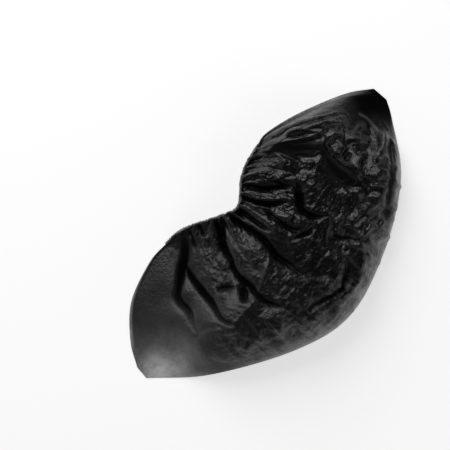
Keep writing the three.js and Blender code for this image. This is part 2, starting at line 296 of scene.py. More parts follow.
# Columns: name, points, depth, left, right, slot, floor
CREASES: tuple[Crease, ...] = (
    Crease(
        "heel flap",
        ((-44, 76), (-56, 66), (-72, 55), (-87, 47), (-93, 37), (-95, 27), (-102, 14), (-108, 4)),
        depth=5, left=14, right=5, slot=5, floor=2.4, taut=1,
    ),
    Crease(
        "heel gusset",
        ((-64, 57), (-67, 53), (-74, 24), (-78, 6), (-78, -5), (-77, -17)),
        depth=3, left=6, right=9, slot=5, floor=0.6,
    ),
    Crease("first strip", ((-39, 74), (-43, 67), (-50, 58)), 3, 4, 4, 4),
    Crease("second strip", ((-30, 69), (-32, 64), (-36, 60)), 3, 3, 3, 4),
    Crease("strip ridge", ((-22, 64), (-30, 59), (-38, 55)), -2, 3, 3),
    Crease("third strip", ((-19, 63), (-24, 55), (-30, 48)), 3, 4, 4, 4, 0.6),
    Crease("arch ridge", ((-43, 53), (-50, 47), (-57, 41)), -1.8, 3, 3, run=LOOSE),
    Crease("low arch ridge", ((-46, 39), (-53, 34), (-60, 28)), -1.8, 3, 3, run=LOOSE),
    Crease("arch crease", ((-66, 20), (-58, 16), (-51, 11)), 3, 4, 4, 3, run=LOOSE),
    Crease("arch lump", ((-70, 15), (-63, 12), (-56, 10)), -3, 5, 5, run=LOOSE),
    Crease("arch branch", ((-43, 6), (-49, 0), (-55, -6)), 4, 5, 4, 4, run=LOOSE),
    Crease(
        "arch fold",
        (
            (-15, 63), (-18, 56), (-28, 47), (-36, 30), (-40, 17),
            (-41, 4), (-43, -15), (-40, -27), (-31, -45),
        ),
        depth=5, left=6, right=7, slot=5, floor=0.6,
    ),
    Crease(
        "instep fold",
        ((-3, 57), (-5, 50), (-4, 20), (-5, 2), (-5, -19), (-3, -37)),
        depth=4.5, left=6, right=5, slot=4.5, floor=0.4,
    ),
    Crease("round pleat", ((-1, 53), (0, 40), (3, 25), (3, 16)), -2.4, 4, 4),
    Crease("low pleat", ((2, 55), (4, 40), (7, 22), (5, 14)), 2.5, 4, 3, 3.5),
    Crease("instep ridge", ((15, 28), (12, 18), (9, 9)), -2, 2.5, 2.5, run=LOOSE),
    Crease("lens hollow", ((17, 42), (19, 28), (20, 11), (23, 2), (33, -3)), 3, 5, 4, 3, run=LOOSE),
    Crease("lens bulge", ((21, 28), (26, 19), (31, 11)), -3, 6, 6, run=LOOSE),
    Crease("vamp crease", ((10, 2), (18, -1), (28, -8), (36, -7)), 3, 4, 4, 3, run=LOOSE),
    Crease("under pleat", ((10, 57), (18, 46), (29, 33), (38, 22)), 2, 3, 3, 3),
    Crease("middle pleat", ((14, 58), (24, 45), (33, 33), (41, 22)), -2.4, 2.6, 2),
    Crease("pleat blob", ((25, 53), (32, 42), (37, 35)), -1.2, 3, 3, run=LOOSE),
    Crease("pleat gap", ((21, 64), (33, 49), (43, 37), (52, 27)), 2, 3, 3, 4, 0.8),
    Crease("high pleat", ((27, 67), (36, 56), (46, 44), (54, 33)), -2.6, 3, 2),
    Crease(
        "vamp hollow",
        ((55, 31), (47, 22), (41, 14), (39, 4), (43, -3), (51, -10)),
        depth=5, left=8, right=4, slot=5, floor=1.2, run=LOOSE,
    ),
    Crease("weld streak", ((62, 75), (82, 67), (102, 57), (118, 47)), 1.5, 2.5, 2.5, 2.5, 0.4, LOOSE),
    Crease("weld ridge", ((66, 73), (84, 64), (103, 53)), -2.5, 2, 2, run=LOOSE),
    Crease("toe crest", ((53, 76), (77, 64), (102, 52), (118, 39), (127, 25)), -2.5, 6, 3),
    Crease("toe edge", ((103, 38), (95, 31), (93, 11), (95, -8), (97, -20)), -3, 7, 2, run=LOOSE),
    TOE_TIP,
    Crease(
        "band line",
        ((140, -1), (133, -10), (121, -25), (104, -36), (94, -42), (75, -57)),
        depth=4, left=3, right=6, slot=3, run=LOOSE,
    ),
    Crease("sole dent", ((34, -46), (27, -55), (12, -61), (-5, -58), (-33, -45)), 4, 7, 7, 4.5, 0.5, LOOSE),
    Crease("sole ridge", ((44, -52), (30, -65), (12, -69), (-4, -69)), -2.2, 3, 3, run=LOOSE),
    Crease("low sole ridge", ((-4, -69), (-16, -71), (-28, -69)), -2, 3, 3, run=LOOSE),
    Crease("heel hollow", ((-88, 66), (-104, 60), (-121, 49)), 2.5, 7, 7, run=LOOSE),
    Crease("ball hollow", ((36, -20), (47, -37), (58, -54)), 4, 7, 7, 2, 0.5, LOOSE),
)


@dataclass(frozen=True)
class Patch:
    """A flat facet of the upper side: its corners seen from above, turned clockwise, and its slopes."""

    name: str
    corners: Points
    rise: float
    slope_x: float
    slope_y: float
    taut: float
    soft: float

    def weight(self, plan: Array) -> Array:
        """How far plan points lie inside the facet, from 0 at its edge to 1."""
        inside = np.full(plan.shape[:-1], np.inf)
        corners = np.array(self.corners, float)
        for start, end in zip(corners, np.roll(corners, -1, axis=0)):
            run = (end - start) / np.linalg.norm(end - start)
            away = plan - start
            inside = np.minimum(inside, away[..., 0] * run[1] - away[..., 1] * run[0])
        return smooth_step(inside, 0.0, self.soft)

    def lay(self, plan: Array, height: Array) -> Array:
        """Flattens the film over the facet.

        Args:
            plan: plan points, in millimetres.
            height: the film's heights there.

        Returns:
            The new heights.
        """
        weight = self.weight(plan)
        middle = np.mean(self.corners, axis=0)
        level = np.sum(weight * height) / np.sum(weight) + self.rise
        away = plan - middle
        plane = level + self.slope_x * away[..., 0] + self.slope_y * away[..., 1]
        return mix(height, plane, weight)


# Columns: name, corners, rise, slope_x, slope_y, taut, soft
PATCHES: tuple[Patch, ...] = (
    Patch(
        "dark toe facet",
        ((57, 72), (84, 66), (113, 47), (98, 26), (80, 28), (66, 42)),
        rise=0.0, slope_x=0.02, slope_y=-0.13, taut=1.0, soft=5.0,
    ),
    Patch("toe diagonal", ((98, 38), (97, -24), (88, -26), (79, -3), (81, 22)), 0.0, 0.05, -0.05, 0.8, 6.0),
    Patch("upper facet", ((101, 42), (114, 36), (115, 27), (102, 31)), 1.5, -0.05, -0.5, 0.5, 2.4),
    Patch("triangle", ((118, 28), (123, 10), (110, 20)), 1.5, -0.1, -0.6, 0.7, 1.5),
    Patch("middle facet", ((97, 31), (110, 26), (109, 14), (96, 14)), 1.5, 0.12, -0.5, 0.3, 2.4),
    Patch("lower facet", ((96, 13), (109, 13), (111, 0), (96, -9)), 1.0, 0.08, -0.55, 0.3, 2.4),
    Patch("vamp streak", ((71, 1), (80, -2), (79, -14), (70, -12)), 0.5, 0.0, -0.5, 0.4, 2.2),
    Patch("high ball facet", ((64, -24), (75, -26), (73, -34), (63, -32)), 0.5, 0.0, -0.5, 0.4, 2.2),
    Patch("ball facet", ((48, -35), (60, -37), (58, -44), (46, -42)), 0.5, 0.0, -0.5, 0.5, 2.2),
    Patch("ball streak", ((35, -37), (44, -37), (43, -42), (35, -42)), 0.5, 0.0, -0.5, 0.5, 1.8),
    Patch("low ball facet", ((60, -40), (70, -42), (68, -50), (59, -48)), 0.5, 0.0, -0.5, 0.4, 2.2),
    Patch("edge ball facet", ((71, -48), (83, -49), (81, -56), (70, -54)), 0.5, 0.0, -0.5, 0.4, 2.2),
    Patch("lens facet", ((20, 27), (30, 24), (32, 12), (21, 14)), 1.0, 0.0, -0.5, 0.4, 2.0),
)


class Crumple:
    """Seeded noise for crumpled film, over plan points in millimetres."""

    TABLE = 64
    SKEW = 0.35
    BEND_CELLS = 1.7
    BEND_SHIFTS = (311.0, 173.0)

    def __init__(self, seed: int) -> None:
        """Draws the noise's table of heights."""
        self.heights = np.random.default_rng(seed).uniform(-1.0, 1.0, (self.TABLE, self.TABLE))

    def _height(self, i: Array, j: Array) -> Array:
        """The random height at whole places of the lattice."""
        return self.heights[i % self.TABLE, j % self.TABLE]

    def soft(self, x: Array, y: Array, cell: float) -> Array:
        """Soft noise with lumps about one cell wide, from -1 to 1."""
        a, b = x / cell, y / cell
        i, j = np.floor(a).astype(int), np.floor(b).astype(int)
        p, q = smooth_step(a - i, 0, 1), smooth_step(b - j, 0, 1)
        low = mix(self._height(i, j), self._height(i + 1, j), p)
        high = mix(self._height(i, j + 1), self._height(i + 1, j + 1), p)
        return mix(low, high, q)

    def ridged(self, x: Array, y: Array, cell: float) -> Array:
        """Noise with sharp crests that wander between hollows about one cell wide, from 0 to 1."""
        return 1.0 - np.abs(self.soft(x + self.SKEW * y, y - self.SKEW * x, cell))

    def facets(self, x: Array, y: Array, cell: float, warp: float) -> Array:
        """Flat facets with sharp edges, about one cell wide.

        Args:
            x: plan places, in millimetres.
            y: plan places, in millimetres.
            cell: size of a facet, in millimetres.
            warp: how far the facets are bent out of a lattice, as a share of the cell.

        Returns:
            Heights from -1 to 1.
        """
        bend = self.BEND_CELLS * cell
        px = x + warp * cell * self.soft(x + self.BEND_SHIFTS[0], y, bend)
        py = y + warp * cell * self.soft(x, y + self.BEND_SHIFTS[1], bend)
        a = (px - py / math.sqrt(3)) / cell
        b = 2 * py / math.sqrt(3) / cell
        i, j = np.floor(a).astype(int), np.floor(b).astype(int)
        p, q = a - i, b - j
        left, right = self._height(i, j + 1), self._height(i + 1, j)
        near = (1 - p - q) * self._height(i, j) + p * right + q * left
        far = (p + q - 1) * self._height(i + 1, j + 1) + (1 - p) * left + (1 - q) * right
        return np.where(p + q < 1, near, far)


@dataclass
class Settling:
    """Settles a grid of film that has more length than the shape it is laid in, so that it crumples.

    Each round pulls every edge of the grid towards its own length, stiffens the film a little against
    bending and draws it softly back to the shape it was laid in. It starts on a coarse grid, for the
    large crumples, and goes on to finer ones.
    """

    strides: tuple[int, ...] = (4, 2, 1)
    rounds: int = 120
    stiffness: float = 0.9
    bending: float = 0.2
    pull: float = 0.003
    keep_speed: float = 0.9
    most: float = 6.0

    STRUCTURE = ((0, 1), (1, 0), (1, 1), (1, -1))
    BEND = ((0, 2), (2, 0))
    LEAST = 1e-6

    def _pairs(self, shape: tuple[int, int], step: tuple[int, int]) -> list[tuple]:
        """Places of the grid that pair each point with the point one step away.

        Args:
            shape: rows and columns of the grid.
            step: the step from one point to the other, in rows and columns.

        Returns:
            A list of groups of pairs, in each of which no point is used twice.
        """
        down, over = step
        rows, cols = np.arange(shape[0]), np.arange(shape[1])
        reach = down if down else over
        starts = rows[: len(rows) - down] if down else rows
        columns = cols[max(0, -over) : len(cols) - max(0, over)]
        groups = []
        for phase in (0, 1):
            pick = starts[starts // reach % 2 == phase] if down else starts
            places = columns if down else columns[columns // reach % 2 == phase]
            groups.append((np.ix_(pick, places), np.ix_(pick + down, places + over)))
        return groups

    def _springs(self, laid: Array, spare: Array, loose: Array) -> list[tuple]:
        """Every group of edges with its lengths and how far it moves each of its ends."""
        springs = []
        for step in self.STRUCTURE + self.BEND:
            stiffness = self.bending if step in self.BEND else self.stiffness
            along = np.abs(step) / np.sum(np.abs(step))
            more = spare @ along
            for near, far in self._pairs(laid.shape[:2], step):
                length = np.linalg.norm(laid[far] - laid[near], axis=-1)
                length = length * (1.0 + 0.5 * (more[near] + more[far]))
                share = stiffness / np.maximum(loose[near] + loose[far], self.LEAST)
                moves = [(share * loose[end])[..., None] for end in (near, far)]
                springs.append((near, far, length, *moves))
        return springs

    @staticmethod
    def _finer(grid: Array) -> Array:
        """The grid with a point put in between each two."""
        for axis in (0, 1):
            grid = np.moveaxis(grid, axis, 0)
            wide = np.empty((2 * len(grid) - 1, *grid.shape[1:]))
            wide[::2] = grid
            wide[1::2] = 0.5 * (grid[1:] + grid[:-1])
            grid = np.moveaxis(wide, 0, axis)
        return grid

    def settle(self, laid: Array, spare: Array, loose: Array, start: Array) -> Array:
        """Crumples the film.

        Args:
            laid: the shape that the film is laid in, a grid of points in millimetres.
            spare: at each point, how much longer the film is than that shape down the rows and along
                the columns, as shares.
            loose: at each point, 1 where the film is free and 0 where it is held.
            start: at each point, a first height that starts the crumples, in millimetres.

        Returns:
            The settled grid of points.
        """
        first = self.strides[0]
        moved = (surface_normal(laid) * (start * loose)[..., None])[::first, ::first]
        for stride in self.strides:
            every = (slice(None, None, stride), slice(None, None, stride))
            shape = laid[every]
            springs = self._springs(shape, spare[every], loose[every])
            points = shape + moved
            speed = np.zeros_like(points)
            for _ in range(self.rounds):
                before = points
                points = points + self.keep_speed * speed + self.pull * (shape - points)
                for near, far, length, near_share, far_share in springs:
                    gap = points[far] - points[near]
                    now = np.sqrt((gap * gap).sum(-1))
                    move = gap * (1.0 - length / np.maximum(now, self.LEAST))[..., None]
                    points[near] += move * near_share
                    points[far] -= move * far_share
                moved = points - shape
                size = np.sqrt((moved * moved).sum(-1, keepdims=True))
                moved *= np.minimum(1.0, self.most / np.maximum(size, self.LEAST))
                points = shape + moved
                speed = points - before
            if stride > 1:
                moved = self._finer(moved)
        return laid + moved


@dataclass(frozen=True)
class Spot:
    """A round spot of the upper side, seen from above."""

    name: str
    x: float
    y: float
    reach: float

    def weight(self, plan: Array) -> Array:
        """How strongly plan points belong to the spot, from 0 to 1."""
        return bell(distance(plan, (self.x, self.y)), self.reach)


@dataclass(frozen=True)
class Zone(Spot):
    """A spot of crumpled film: the spare length of its film and how far it is crushed to facets."""

    spare: float
    crush: float


@dataclass(frozen=True)
class Calm(Spot):
    """A spot of smoother film, with the share of the crumples that is left in it."""

    share: float


# Columns: name, x, y, reach, spare, crush
ZONES: tuple[Zone, ...] = (
    Zone("ball", 74, -36, 38, 0.02, 0.9),
    Zone("toe", 112, 12, 28, 0.02, 0.8),
    Zone("vamp", 55, 20, 36, 0.02, 0.7),
    Zone("instep", 18, -6, 34, 0.015, 0.45),
    Zone("arch", -46, 42, 30, 0.015, 0.15),
    Zone("arch sole", -40, -20, 40, 0.015, 0.4),
    Zone("heel sole", -84, -26, 34, 0.01, 0.3),
    Zone("sole", 4, -58, 44, 0.01, 0.45),
)
# Columns: name, x, y, reach, share
CALMS: tuple[Calm, ...] = (
    Calm("toe corner", 154, 20, 20, 0.0),
    Calm("heel", -116, 42, 62, 0.18),
    Calm("heel corner", -140, -10, 30, 0.1),
    Calm("instep sole", 8, -32, 20, 0.4),
    Calm("vamp side", 66, 6, 20, 0.55),
)


class Kind(Enum):
    """The kinds of noise."""

    SOFT = "soft"
    RIDGED = "ridged"
    FACETS = "facets"


@dataclass(frozen=True)
class Layer:
    """A layer of noise: its kind, height and cell, and how the places it reads are stretched and moved."""

    kind: Kind
    height: float
    cell: float
    stretch: Pair = (1.0, 1.0)
    shift: Pair = (0.0, 0.0)
    warp: float = 0.55

    def at(self, noise: Crumple, a: Array, b: Array) -> Array:
        """The layer's heights at places a and b, which are plan points or shares."""
        x = self.stretch[0] * a + self.shift[0]
        y = self.stretch[1] * b + self.shift[1]
        if self.kind is Kind.FACETS:
            return self.height * noise.facets(x, y, self.cell, self.warp)
        shape = noise.soft if self.kind is Kind.SOFT else noise.ridged
        return self.height * shape(x, y, self.cell)


SOFT, RIDGED, FACETS = Kind


def total(layers: Iterable[Layer], noise: Crumple, a: Array, b: Array) -> Array:
    """The heights of some layers together."""
    return sum(layer.at(noise, a, b) for layer in layers)


class Edge(Enum):
    """The edge of a side that a share is measured from."""

    HEEL = "heel"
    TOE = "toe"
    SOLE = "sole"
    MOUTH = "mouth"

    def share(self, u: Array, v: Array) -> Array:
        """The shares from this edge to the one across."""
        along = u if self in (Edge.HEEL, Edge.TOE) else v
        return 1 - along if self in (Edge.TOE, Edge.MOUTH) else along


@dataclass(frozen=True)
class Step:
    """A soft step over the shares from an edge, from 0 at low to 1 at high."""

    edge: Edge
    low: float
    high: float

    def at(self, u: Array, v: Array) -> Array:
        """The step at the given places."""
        return smooth_step(self.edge.share(u, v), self.low, self.high)


@dataclass(frozen=True)
class Strip:
    """A soft strip along an edge, with its middle line at a share from it."""

    edge: Edge
    middle: float
    width: float
    power: float = 2

    def at(self, u: Array, v: Array) -> Array:
        """The strip at the given places, from 0 to 1."""
        return bell(self.edge.share(u, v) - self.middle, self.width, self.power)


@dataclass(frozen=True)
class Area:
    """A soft area of a side: an amount, times the steps and strips that bound it."""

    amount: float
    bounds: tuple[Step | Strip, ...]

    def at(self, u: Array, v: Array) -> Array:
        """The amount at the given places."""
        return self.amount * np.prod([bound.at(u, v) for bound in self.bounds], axis=0)


@dataclass(frozen=True)
class Relief:
    """Noise over the shares u and v, pressed into an area of the side."""

    area: Area
    layers: tuple[Layer, ...]

    def at(self, noise: Crumple, u: Array, v: Array) -> Array:
        """Heights in millimetres."""
        return self.area.at(u, v) * total(self.layers, noise, u, v)


@dataclass(frozen=True)
class Streaks:
    """Thin streaks in an area of the side, along the crests of some noise that rise past a span."""

    area: Area
    crests: Layer
    span: Pair

    def at(self, noise: Crumple, u: Array, v: Array) -> Array:
        """How far the streaks show, from 0 to the area's amount."""
        return self.area.at(u, v) * smooth_step(self.crests.at(noise, u, v), *self.span)


@dataclass(frozen=True)
class Blot:
    """A soft blot: its amount, its reach in millimetres and the power that flattens its middle."""

    amount: float
    reach: float
    power: float = 2

    def at(self, away: Array) -> Array:
        """The amount at these distances from the blot's middle."""
        return self.amount * bell(away, self.reach, self.power)


HEEL, TOE, SOLE, MOUTH = Edge
FLANK = (Step(HEEL, 0.12, 0.3), Step(HEEL, 0.92, 0.82), Step(SOLE, 0.01, 0.04), Step(SOLE, 0.3, 0.12))

# The toe weld's streaks, the ripples across the flank along the sole, and the facets over its fold
RELIEFS: tuple[Relief, ...] = (
    Relief(
        Area(1.0, (Strip(TOE, 0.08, 0.06), Step(SOLE, 0.25, 0.45))),
        (Layer(FACETS, 2.4, 6.0, (330, 36), warp=0.8),),
    ),
    Relief(
        Area(1.0, (Strip(SOLE, 0.1, 0.09), Step(HEEL, 0.14, 0.3), Step(TOE, 0.05, 0.12))),
        (Layer(RIDGED, 2.6, 10.0, (330, 50)), Layer(FACETS, 1.4, 5.5, (330, 40))),
    ),
    Relief(
        Area(1.0, (Step(SOLE, 0.02, 0.08), Step(SOLE, 0.32, 0.16), Step(HEEL, 0.1, 0.26))),
        (Layer(FACETS, 2.4, 8.0, (150, 100), warp=0.9), Layer(FACETS, 1.2, 8.0, (400, 220), warp=0.9)),
    ),
)
# Painted shade and painted light in streaks along the flank, and painted shade along the sole by the heel
PAINTED_SHADE_STREAKS = Streaks(Area(0.4, FLANK), Layer(RIDGED, 1.0, 8.0, (330, 45), (77, 0)), (0.66, 0.95))
PAINTED_LIGHT_STREAKS = Streaks(Area(0.05, FLANK), Layer(RIDGED, 1.0, 7.0, (330, 60)), (0.8, 0.98))
PAINTED_SHADE_SOLE = Area(0.85, (Strip(HEEL, 0.16, 0.06), Strip(SOLE, 0, 0.09)))

# Painted paler: a painted highlight on the sole at the heel, painted reflection with the support showing
# through along the sole, and the support showing through at the toe, the heel and the two welds
PALE: tuple[Area, ...] = (
    Area(0.3, (Strip(SOLE, 0, 0.07), Strip(HEEL, 0, 0.07))),
    Area(0.06, (Strip(SOLE, 0, 0.05), Step(TOE, 0.03, 0.15), Step(HEEL, 0.18, 0.4))),
    Area(0.03, (Strip(TOE, 0, 0.05), Step(SOLE, 0.2, 0.4))),
    Area(0.008, (Strip(HEEL, 0, 0.1),)),
    Area(0.45, (Strip(HEEL, 0, 0.009, 4), Step(SOLE, 0.1, 0.3))),
    Area(0.45, (Strip(TOE, 0, 0.009, 4), Step(SOLE, 0.1, 0.3))),
)

# Spare length that the toe weld gives the film along it, and that the flank has across it
WELD_SPARE = Area(0.06, (Strip(TOE, 0.06, 0.05), Step(SOLE, 0.3, 0.5)))
FLANK_SPARE = Area(0.02, (Strip(SOLE, 0.14, 0.08), Step(HEEL, 0.3, 0.5)))

# The part of the side that is free to settle, inside the edges that hold it
LOOSE_FILM = Area(1.0, (Step(SOLE, 0, 0.03), Step(MOUTH, 0, 0.02), Step(HEEL, 0, 0.02), Step(TOE, 0, 0.02)))


class Nodes:
    """A node tree, with short ways to add nodes and join them."""

    def __init__(self, tree: bpy.types.NodeTree) -> None:
        """Starts on a tree."""
        self.tree = tree

    def join(self, value: Value, socket: Socket) -> None:
        """Links a socket to another or to each of a list, or sets it to a fixed value."""
        for one in value if isinstance(value, list) else [value]:
            if isinstance(one, Socket):
                self.tree.links.new(one, socket)
            else:
                socket.default_value = one

    def add(self, kind: str, inputs: dict | None = None, **settings: str) -> Outputs:
        """Adds a node.

        Args:
            kind: the node's type.
            inputs: a value, or an output of another node, for each named or numbered input.
            settings: the node's own choices.

        Returns:
            The node's outputs.
        """
        node = self.tree.nodes.new(kind)
        for name, choice in settings.items():
            setattr(node, name, choice)
        for name, value in (inputs or {}).items():
            self.join(value, node.inputs[name])
        return node.outputs


class Shading(Nodes):
    """The nodes of a material or of the surroundings."""

    def __init__(self, owner: bpy.types.Material | bpy.types.World) -> None:
        """Starts on the owner's tree."""
        owner.use_nodes = True
        super().__init__(owner.node_tree)
        self.place = self.add("ShaderNodeTexCoord")

    def attribute(self, name: str) -> Socket:
        """A value that the mesh holds at its points."""
        return self.add("ShaderNodeAttribute", attribute_name=name)["Fac"]

    def math(self, operation: str, *values: Value) -> Socket:
        """The result of an operation on some values."""
        return self.add("ShaderNodeMath", dict(enumerate(values)), operation=operation)["Value"]

    def ramp(self, value: Socket, start: Pair, end: Pair) -> Socket:
        """Maps a value from the span of start to the span of end, and holds it at their ends."""
        ends = {"From Min": start[0], "From Max": start[1], "To Min": end[0], "To Max": end[1]}
        return self.add("ShaderNodeMapRange", {"Value": value, **ends})["Result"]

    def noise(self, size: float, **inputs: float) -> Outputs:
        """Noise over the object's own places, with lumps of the given size in metres."""
        values = {"Vector": self.place["Object"], "Scale": 1.0 / size, **inputs}
        return self.add("ShaderNodeTexNoise", values)

    def blend(self, share: Socket, a: Triple, b: Triple) -> Socket:
        """The colour that lies a share of the way from a to b."""
        inputs = {"Factor": share, "A": (*a, 1.0), "B": (*b, 1.0)}
        return self.add("ShaderNodeMix", inputs, data_type="RGBA")["Result"]

    def cells(self, size: float, sway: float) -> Socket:
        """Distances from the middles of swayed cells.

        Args:
            size: width of a cell, in metres.
            sway: how many lumps of the sway come to a cell.

        Returns:
            The distances, in cells.
        """
        terms = (self.noise(size / sway)["Color"], (size, size, size), self.place["Object"])
        moved = self.add("ShaderNodeVectorMath", dict(enumerate(terms)), operation="MULTIPLY_ADD")["Vector"]
        return self.add("ShaderNodeTexVoronoi", {"Vector": moved, "Scale": 1.0 / size})["Distance"]

    def bump(self, height: Socket, size: float, **under: Socket) -> Socket:
        """The normal over bumps of the given size, on top of another normal if one is given."""
        return self.add("ShaderNodeBump", {"Height": height, "Distance": size, **under})["Normal"]


@dataclass(frozen=True)
class FilmFinish:
    """Thin black film: crinkled, with a fine pressed grain, and painted paler where its support shows
    through.

    The mesh says at each point how crisp it is, how pale it is painted (thin: where the support shows
    through, and painted highlights) and how far it takes painted shade (shade: gloss taken off in folds and
    dark places).
    """

    name: str = "black_film"
    colour: Triple = (0.002, 0.002, 0.0022)
    # The pale colour that the thin values paint towards: for see-through film and for painted highlights
    pale: Triple = (0.8, 0.8, 0.81)
    gloss: Pair = (0.5, 0.03)
    roughness: Pair = (0.19, 0.37)
    heel_roughness: float = 0.13
    fold_roughness: float = 0.25
    heel_from: Pair = (30 * MM, -70 * MM)
    cloud: float = 1.0 / 60.0
    cloud_detail: float = 4.0
    crinkle: float = 3.6 * MM
    small_crinkle: float = 1.62 * MM
    small_share: float = 0.5
    crinkle_height: float = 0.5 * MM
    sway: float = 0.6
    mottle: float = 14.0 * MM
    mottle_detail: float = 5.0
    mottle_roughness: float = 0.75
    mottle_from: Pair = (0.25, 0.75)
    mottle_to: Pair = (0.5, 1.4)
    grain: float = 0.9 * MM
    grain_height: float = 0.1 * MM

    def build(self) -> bpy.types.Material:
        """Makes the node material.

        Returns:
            The material.
        """
        material = bpy.data.materials.new(self.name)
        shading = Shading(material)
        shader = shading.tree.nodes["Principled BSDF"].inputs
        mottle = shading.noise(self.mottle, Detail=self.mottle_detail, Roughness=self.mottle_roughness)
        uneven = shading.ramp(mottle["Fac"], self.mottle_from, self.mottle_to)
        # The thin values paint the film paler: where its support shows through, and as painted highlights
        pale = shading.math("MULTIPLY", shading.attribute("thin"), uneven)
        shading.join(shading.blend(pale, self.colour, self.pale), shader["Base Color"])
        # The shade values are painted shade: they take the gloss off the film, and below they roughen it
        shade = shading.attribute("shade")
        shading.join(shading.ramp(shade, (0.0, 1.0), self.gloss), shader["Specular IOR Level"])
        cloud = shading.noise(self.cloud, Detail=self.cloud_detail)
        rough = shading.ramp(cloud["Fac"], (0.0, 1.0), self.roughness)
        axes = shading.add("ShaderNodeSeparateXYZ", {"Vector": shading.place["Object"]})
        heelwards = shading.ramp(axes["X"], self.heel_from, (0.0, self.heel_roughness))
        dull = shading.math("ADD", heelwards, rough)
        shading.join(shading.math("MULTIPLY_ADD", shade, self.fold_roughness, dull), shader["Roughness"])
        small, large = (shading.cells(size, self.sway) for size in (self.small_crinkle, self.crinkle))
        crinkles = shading.math("MULTIPLY_ADD", small, self.small_share, large)
        crisp = shading.math("MULTIPLY", crinkles, shading.attribute("crisp"))
        crinkled = shading.bump(crisp, self.crinkle_height)
        grain = shading.cells(self.grain, self.sway)
        shading.join(shading.bump(grain, self.grain_height, Normal=crinkled), shader["Normal"])
        return material


@dataclass(frozen=True)
class HemFinish:
    """Film rolled tightly round its elastic: greyer than the flat film and a little duller."""

    name: str = "hem_film"
    colour: Triple = (0.3, 0.3, 0.305)
    dark: Triple = (0.05, 0.05, 0.052)
    roughness: float = 0.45
    mottle: float = 3.0 * MM

    def build(self) -> bpy.types.Material:
        """Makes the node material.

        Returns:
            The material.
        """
        material = bpy.data.materials.new(self.name)
        shading = Shading(material)
        shader = shading.tree.nodes["Principled BSDF"].inputs
        shader["Roughness"].default_value = self.roughness
        cloud = shading.noise(self.mottle)["Fac"]
        shading.join(shading.blend(cloud, self.dark, self.colour), shader["Base Color"])
        return material


